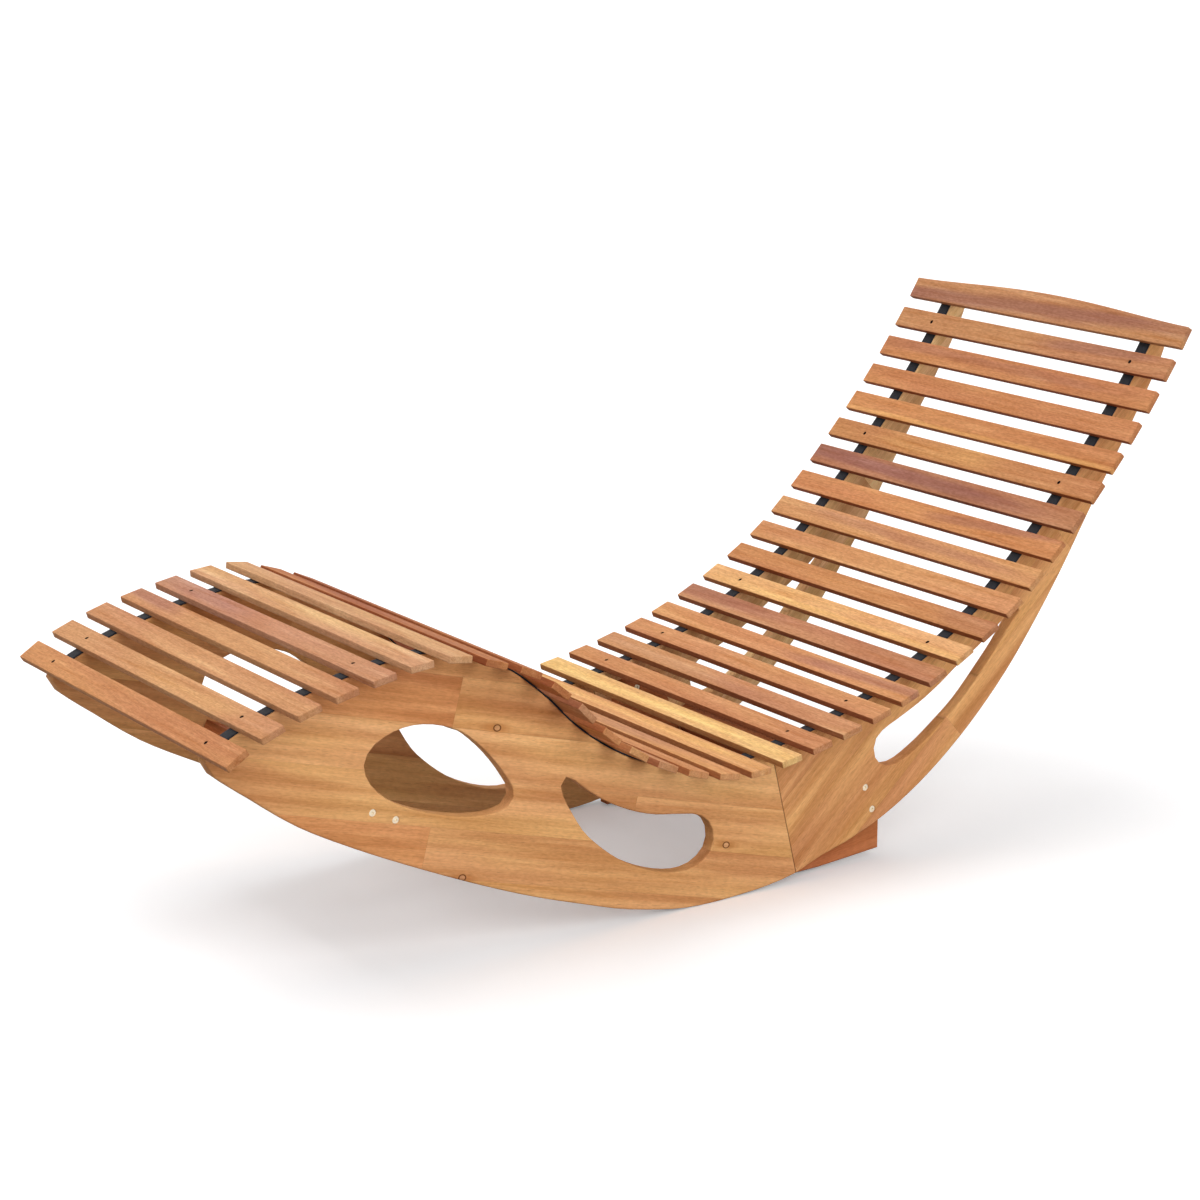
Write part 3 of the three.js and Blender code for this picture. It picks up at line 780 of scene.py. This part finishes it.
# Staves that stand out: the row, the length's number and the tone
NEAR_PICKED = (
    (2, -2, SALMON_STAVE), (2, -1, BUFF_STAVE), (1, -1, LIGHT_STAVE), (0, -1, HONEY_STAVE),
    (0, 0, HONEY_STAVE), (-1, -2, SALMON_STAVE), (-1, -1, HONEY_STAVE), (-2, -1, BUFF_STAVE),
)
# The ends of the seam between the boards
SEAM_TOP = Vector((0.0643, 0, 0.2178))
SEAM_BOTTOM = Vector((0.1223, 0, -0.0168))
# Places of the knots in the side view, along X and Z
NEAR_KNOTS = ((-0.3520, 0.2944), (-0.4046, 0.1115), (-0.0016, 0.0756))
FAR_KNOTS = ((-0.6036, 0.2989), (0.0164, 0.1289))
# Numbers that give each board other staves by chance
NEAR_BOARD = 0.0
FAR_BOARD = 7.0
BACK_BOARD_STEP = 3.0


def grain_ways(slope):
    """The directions along and across the grain in the side view."""
    return Vector((math.cos(slope), 0, math.sin(slope))), Vector((-math.sin(slope), 0, math.cos(slope)))


def on_board(spots, slope):
    """Spots of the side view as distances across and along the grain."""
    grain, across = grain_ways(slope)
    return [(Vector((x, 0, z)).dot(across), Vector((x, 0, z)).dot(grain)) for x, z in spots]


seam_way = (SEAM_BOTTOM - SEAM_TOP).normalized()
seam_side = seam_way.cross(Vector((0, 1, 0)))
for side, knots, picked, back_tones, board in (
    ("near", NEAR_KNOTS, NEAR_PICKED, (BACK_LIGHT, BACK_DARK), NEAR_BOARD),
    # The far back board gets painted light through its paler tones
    ("far", FAR_KNOTS, (), (PAINTED_LIGHT_BACK_LIGHT, PAINTED_LIGHT_BACK_DARK), FAR_BOARD),
):
    front = board_material(
        "front_board_" + side, FRONT_PITCH, FRONT_FIRST_LINE, FRONT_FIRST_JOINT,
        FRONT_LIGHT, FRONT_DARK, on_board(knots, FRONT_GRAIN_SLOPE), board, picked)
    back = board_material(
        "back_board_" + side, BACK_PITCH, BACK_FIRST_LINE, BACK_FIRST_JOINT,
        *back_tones, board=board + BACK_BOARD_STEP)
    for place, slope, material in (("front", FRONT_GRAIN_SLOPE, front), ("back", BACK_GRAIN_SLOPE, back)):
        node = f"panel_{place}_{side}"
        grain, across = grain_ways(slope)
        skin = merged_copy(node)
        write_places(skin, "timber_place", grain, across, ORIGIN, ORIGIN)
        write_places(skin, "from_seam", seam_way, seam_side, SEAM_TOP, ORIGIN)
        finished_piece(node + "_timber", skin, material, "acacia_boards", node)
print("four boards")

# %% [markdown]
# ## The joint plates and the stretchers
#
# The pieces inside are single planks, redder and darker than the panels: partly their own redder cut, and
# partly painted shade of the chair's shaded inside. The plates tie the boards behind the seam and end in
# the square stop that shows under the panel; their grain runs along the floor. The stretchers' grain runs
# across the chair.

# %% Make the plates and stretchers
# Redder and darker than the panels: partly the planks' own colour, partly painted shade of the chair's
# inside
INNER_WOOD_AND_SHADE_LIGHT = screen(198, 124, 78)
INNER_WOOD_AND_SHADE_DARK = screen(174, 104, 64)
PLANK_PITCH = 0.4
PLANK_FIRST_JOINT = -1.3
PLANK_BOARD = 5.0
PLATE_GRAIN_SLOPE = math.radians(8)
PLATE_FROM_LOG = Vector((0, 0.1, 0))
STRETCHER_FROM_LOG = Vector((0.02, 0.3, 0))
ALONG_CHAIR = Vector((1, 0, 0))

inner_wood_and_shade = board_material(
    "red_wood_and_painted_shade", PLANK_PITCH, -PLANK_PITCH / 2, PLANK_FIRST_JOINT, INNER_WOOD_AND_SHADE_LIGHT, INNER_WOOD_AND_SHADE_DARK,
    board=PLANK_BOARD, seam=0.0)
for side in ("near", "far"):
    node = "joint_plate_" + side
    grain, across = grain_ways(PLATE_GRAIN_SLOPE)
    low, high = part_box(node)
    skin = merged_copy(node)
    write_places(skin, "timber_place", grain, across, (low + high) / 2, PLATE_FROM_LOG)
    finished_piece(node + "_timber", skin, inner_wood_and_shade, "acacia_dark", node)
for place in ("front", "rear"):
    node = "stretcher_" + place
    low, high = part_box(node)
    skin = merged_copy(node)
    middle = (low + high) / 2
    write_places(skin, "timber_place", GRAIN_ACROSS_CHAIR, ALONG_CHAIR, middle, STRETCHER_FROM_LOG)
    finished_piece(node + "_timber", skin, inner_wood_and_shade, "acacia_dark", node)
print("two plates and two stretchers")

# %% [markdown]
# ## The webbing
#
# Between the slats and each panel lies a flat woven band, which shows as a dark square in every gap.
# A band is a grid laid along a path: the path is the top of the hidden strap, each row of the grid
# is put across it, and the cloth puffs up a little where no slat presses on it. Solidify gives it
# its thickness. Its UV map is in metres along and across the band, so the weave can follow it.

# %% Read the bands' paths
BAND_THICKNESS = 1.3 * MM
BAND_PUFF = 0.5 * MM
BAND_EDGE_DROP = 0.25 * MM
SLAT_HALF_WIDTH = 16 * MM
SLAT_HALF_GAP = 9.5 * MM
ROWS_A_SLAT = 10
ROWS_ACROSS = 8
EDGE_DROP_POWER = 6
# Places that agree to the micrometre are one point of the path
PLACE_DIGITS = 6


def band_path(node):
    """The points of a strap's top line from the foot to the head, read off its solid."""
    points = [vertex.co for vertex in solids[node].data.vertices]
    spots = sorted({(round(point.x, PLACE_DIGITS), round(point.z, PLACE_DIGITS)) for point in points})
    pairs = zip(spots[0::2], spots[1::2])
    tops = [max(pair, key=lambda spot: spot[1]) for pair in pairs]
    return [Vector((x, 0, z)) for x, z in tops]


def path_lengths(path):
    """How far along the path each of its points lies."""
    lengths = [0.0]
    for start, stop in zip(path, path[1:]):
        lengths.append(lengths[-1] + (stop - start).length)
    return lengths


def point_on_path(path, lengths, distance):
    """A point of the path and the direction there."""
    index = 0
    while index < len(path) - 2 and lengths[index + 1] < distance:
        index += 1
    step = lengths[index + 1] - lengths[index]
    share = (distance - lengths[index]) / step
    way = (path[index + 1] - path[index]).normalized()
    return path[index].lerp(path[index + 1], share), way


path = band_path("strap_near")
lengths = path_lengths(path)
print(len(path), "points, the band is", round(lengths[-1], 3), "m long")

# %% Make the webbing's material
YARN = 1.1 * MM
YARN_HEIGHT = 0.3 * MM
YARN_RELIEF = 0.6
# Which value of the weave's wave is between the yarns and which is on top of one
YARN_RANGE = (-0.7, 0.9)
BAND_COLOUR = screen(22, 23, 27)
# The yarns' tops are painted lighter: a painted highlight, with painted shade between the yarns
YARN_TOP_PAINTED_HIGHLIGHT = screen(42, 44, 51)
BAND_DUST = screen(60, 60, 62)
DUST_RANGE = (0.55, 0.8)
DUST_SHARE = 0.35
FUZZ_SCALE = 420.0
BAND_ROUGHNESS_LOW = 0.65
BAND_ROUGHNESS_PLAY = 0.2
BAND_SHEEN = 0.08
BAND_SHEEN_ROUGHNESS = 0.5
BAND_SPECULAR = 0.12


def cloudy_noise(tree, place, scale, detail):
    """Noise with as many blotches a metre in every direction."""
    return wire(tree, "TexNoise", {"Vector": place, "Scale": scale, "Detail": detail}).outputs["Fac"]


def webbing_material():
    """Nearly black cloth whose yarns cross over and under, with a painted highlight on the yarns' tops
    and a little dust on it.
    """
    material, tree, shader = new_material("woven_webbing")
    place = wire(tree, "UVMap", uv_map="band").outputs["UV"]
    turns = calc_vector(tree, "MULTIPLY", place, (math.pi / YARN, math.pi / YARN, 1.0))
    axes = wire(tree, "SeparateXYZ", {0: turns}).outputs
    warp = calc(tree, "SINE", axes["X"])
    weft = calc(tree, "SINE", axes["Y"])
    weave = calc(tree, "MULTIPLY", warp, weft)
    over = spread(tree, weave, *YARN_RANGE)
    fuzz = cloudy_noise(tree, place, FUZZ_SCALE, detail=3.0)
    # Painted highlight on the yarns' tops, painted shade between them
    colour = blend(tree, over, BAND_COLOUR, YARN_TOP_PAINTED_HIGHLIGHT)
    dust = calc(tree, "MULTIPLY", spread(tree, fuzz, *DUST_RANGE), DUST_SHARE)
    tree.links.new(blend(tree, dust, colour, BAND_DUST), shader.inputs["Base Color"])
    rough = calc(tree, "MULTIPLY_ADD", fuzz, BAND_ROUGHNESS_PLAY, BAND_ROUGHNESS_LOW)
    tree.links.new(rough, shader.inputs["Roughness"])
    shader.inputs["Sheen Weight"].default_value = BAND_SHEEN
    shader.inputs["Sheen Roughness"].default_value = BAND_SHEEN_ROUGHNESS
    shader.inputs["Specular IOR Level"].default_value = BAND_SPECULAR
    add_bump(tree, shader, over, YARN_RELIEF, YARN_HEIGHT)
    return material


woven = webbing_material()
print("yarns", round(YARN / MM, 1), "mm apart")

# %% Lay the bands


def make_band(side):
    """Lays a grid along the path of a strap, puffed up between the slats, and thickens it."""
    node = "strap_" + side
    low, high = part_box(node)
    middle_y, half_width = (low.y + high.y) / 2, (high.y - low.y) / 2
    skin = bmesh.new()
    rows = ROWS_A_SLAT * (len(slats) - 1)
    bmesh.ops.create_grid(skin, x_segments=rows, y_segments=ROWS_ACROSS, size=0.5)
    # The grid reaches from -0.5 to 0.5 both ways
    uv = skin.loops.layers.uv.new("band")
    for face in skin.faces:
        for loop in face.loops:
            spot = loop.vert.co
            loop[uv].uv = ((spot.x + 0.5) * lengths[-1], spot.y * 2 * half_width)
    for vertex in skin.verts:
        distance = (vertex.co.x + 0.5) * lengths[-1]
        aside = 2 * vertex.co.y
        point, way = point_on_path(path, lengths, distance)
        out = Vector((-way.z, 0, way.x))
        to_slat = min((middle - point).length for middle, _, _ in slats.values())
        between = max(0.0, to_slat - SLAT_HALF_WIDTH) / SLAT_HALF_GAP
        rise = BAND_PUFF * min(between, 1) * (1 - aside ** 2)
        rise -= BAND_EDGE_DROP * aside ** EDGE_DROP_POWER
        vertex.co = point + out * rise + Vector((0, middle_y + aside * half_width, 0))
    bmesh.ops.recalc_face_normals(skin, faces=skin.faces)
    if sum(face.normal.z for face in skin.faces) < 0:
        bmesh.ops.reverse_faces(skin, faces=skin.faces)
    band = finished_piece(node + "_webbing", skin, woven, "webbing", node)
    cloth = band.modifiers.new("thickness", "SOLIDIFY")
    cloth.thickness = BAND_THICKNESS
    cloth.offset = -1.0
    band.modifiers.move(1, 0)
    return band


for side in ("near", "far"):
    make_band(side)
print("two bands")

# %% [markdown]
# ## The bolt heads
#
# Each bolt shows as a pale plated disc with a small six-sided socket, sunk in a counterbore. It
# starts as a disc. Its face is inset, the inner ring is pushed into a hexagon, and the face inside
# it is extruded down. The hexagon is a formula: at each angle, the distance to a flat side.

# %% Make the bolt heads
HEAD_SEGMENTS = 48
SOCKET_ACROSS = 4 * MM
SOCKET_DEPTH = 1.6 * MM
HEAD_EDGE = 0.5 * MM
HEAD_SHARE = 0.97
HEAD_SUNK = 0.5 * MM
INSET = 0.3 * MM
PLATING_DARK = screen(214, 196, 166)
PLATING_LIGHT = screen(244, 232, 208)
PLATING_METALLIC = 0.55
PLATING_CLOUDS = 600.0
PLATING_ROUGHNESS_LOW = 0.3
PLATING_ROUGHNESS_PLAY = 0.2
PLATING_RELIEF = 0.15
PLATING_RELIEF_DEPTH = 0.1 * MM


def hexagon_radius(angle, across_corners):
    """From the middle to the outline of a hexagon in a direction."""
    from_flat = (angle % (math.pi / 3)) - math.pi / 6
    return across_corners / 2 * math.cos(math.pi / 6) / math.cos(from_flat)


def head_disc(radius, thickness, edge, segments):
    """A disc with an eased rim, its top face at Z = 0."""
    disc = bmesh.new()
    bmesh.ops.create_cone(
        disc, cap_ends=True, segments=segments, radius1=radius, radius2=radius, depth=thickness)
    bmesh.ops.translate(disc, verts=disc.verts, vec=(0, 0, -thickness / 2))
    rim = [line for line in disc.edges if all(vertex.co.z > -edge for vertex in line.verts)]
    bmesh.ops.bevel(disc, geom=rim, offset=edge, segments=3, profile=0.5, affect="EDGES", material=-1)
    return disc


def sink_face(disc, outline, depth):
    """Pushes the middle of the top face down inside an outline given as radius by angle."""
    # The highest face, and of several level ones the largest
    top = max(disc.faces, key=lambda face: (round(face.calc_center_median().z, 7), face.calc_area()))
    bmesh.ops.inset_region(disc, faces=[top], thickness=INSET, use_even_offset=True)
    for vertex in top.verts:
        angle = math.atan2(vertex.co.y, vertex.co.x)
        reach = outline(angle)
        vertex.co.x, vertex.co.y = reach * math.cos(angle), reach * math.sin(angle)
    hole = bmesh.ops.extrude_discrete_faces(disc, faces=[top])
    bmesh.ops.translate(disc, verts=hole["faces"][0].verts, vec=(0, 0, -depth))


def turn_outwards(disc, way, place):
    """Turns a disc made facing up so that it faces a way, and puts it in its place."""
    turn = way.to_track_quat("Z", "Y").to_matrix().to_4x4()
    bmesh.ops.transform(disc, matrix=Matrix.Translation(place) @ turn, verts=disc.verts)
    bmesh.ops.recalc_face_normals(disc, faces=disc.faces)


def plated_material():
    """Pale plating, a little cloudy from handling."""
    material, tree, shader = new_material("plated_head")
    place = wire(tree, "TexCoord").outputs["Object"]
    cloud = cloudy_noise(tree, place, PLATING_CLOUDS, detail=3.0)
    tree.links.new(blend(tree, cloud, PLATING_DARK, PLATING_LIGHT), shader.inputs["Base Color"])
    shader.inputs["Metallic"].default_value = PLATING_METALLIC
    rough = calc(tree, "MULTIPLY_ADD", cloud, PLATING_ROUGHNESS_PLAY, PLATING_ROUGHNESS_LOW)
    tree.links.new(rough, shader.inputs["Roughness"])
    add_bump(tree, shader, cloud, PLATING_RELIEF, PLATING_RELIEF_DEPTH)
    return material


plated = plated_material()
cap_nodes = sorted(name for name in solids if name.startswith("bolt_cap"))
for node in cap_nodes:
    low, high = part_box(node)
    middle = (low + high) / 2
    radius = HEAD_SHARE * (high.x - low.x) / 2
    outwards = (1 if middle.y > 0 else -1) * (-1 if "plate" in node else 1)
    disc = head_disc(radius, high.y - low.y - HEAD_SUNK, HEAD_EDGE, HEAD_SEGMENTS)
    sink_face(disc, lambda angle: hexagon_radius(angle, SOCKET_ACROSS), SOCKET_DEPTH)
    face_y = high.y - HEAD_SUNK if outwards > 0 else low.y + HEAD_SUNK
    turn_outwards(disc, Vector((0, outwards, 0)), Vector((middle.x, face_y, middle.z)))
    finished_piece(node + "_head", disc, plated, "cap_metal", node)
print(len(cap_nodes), "bolt heads")

# %% [markdown]
# ## The slats' screws
#
# Ten of the slats are screwed down, one screw over each panel. From a few steps away a screw is a small
# dark spot: its head sits a little below the wood, and its near-black colour is partly a dark bronze
# finish and partly painted shade of the screw hole. Close up it has a cross recess, whose outline is
# again a formula of the angle: far out along four arms and close in between them.

# %% Make the screws
SCREWED_SLATS = (1, 2, 5, 9, 12, 19, 21, 24, 30, 34)
SCREW_HEAD = 5.7 * MM
SCREW_THICKNESS = 1.6 * MM
SCREW_SUNK = 0.5 * MM
SCREW_EDGE = 0.25 * MM
SCREW_SEGMENTS = 32
CROSS_WAIST = 0.45 * MM
CROSS_ARM = 0.95 * MM
CROSS_SLIMNESS = 3
CROSS_DEPTH = 0.9 * MM
SLAT_HALF_THICKNESS = 4.5 * MM
# Near black: a dark bronze finish, and painted shade of the screw hole the head sits in
BRONZE_AND_HOLE_SHADE_DARK = screen(12, 8, 7)
BRONZE_AND_HOLE_SHADE_LIGHT = screen(26, 17, 13)
BRONZE_CLOUDS = 900.0
BRONZE_SPECULAR = 0.05
BRONZE_ROUGHNESS_LOW = 0.7
BRONZE_ROUGHNESS_PLAY = 0.2


def cross_radius(angle):
    """From the middle to the outline of the cross recess in a direction."""
    return CROSS_WAIST + CROSS_ARM * abs(math.cos(2 * angle)) ** CROSS_SLIMNESS


def screw_material():
    """Dull steel, near black: a dark bronze finish with painted shade of the screw hole."""
    material, tree, shader = new_material("screw_head_and_painted_hole_shade")
    place = wire(tree, "TexCoord").outputs["Object"]
    cloud = cloudy_noise(tree, place, BRONZE_CLOUDS, detail=2.0)
    tree.links.new(blend(tree, cloud, BRONZE_AND_HOLE_SHADE_DARK, BRONZE_AND_HOLE_SHADE_LIGHT), shader.inputs["Base Color"])
    shader.inputs["Specular IOR Level"].default_value = BRONZE_SPECULAR
    rough = calc(tree, "MULTIPLY_ADD", cloud, BRONZE_ROUGHNESS_PLAY, BRONZE_ROUGHNESS_LOW)
    tree.links.new(rough, shader.inputs["Roughness"])
    return material


screw_head_and_hole_shade = screw_material()
panel_y = {}
for side in ("near", "far"):
    low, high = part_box("panel_front_" + side)
    panel_y[side] = (low.y + high.y) / 2
for number in SCREWED_SLATS:
    middle, across, up = slats[number]
    for side, y in panel_y.items():
        disc = head_disc(SCREW_HEAD / 2, SCREW_THICKNESS, SCREW_EDGE, SCREW_SEGMENTS)
        sink_face(disc, cross_radius, CROSS_DEPTH)
        place = middle + up * (SLAT_HALF_THICKNESS - SCREW_SUNK) + Vector((0, y, 0))
        turn_outwards(disc, up, place)
        finished_piece(f"slat_screw_{number:02d}_{side}", disc, screw_head_and_hole_shade, "cap_metal")
print(2 * len(SCREWED_SLATS), "screws")
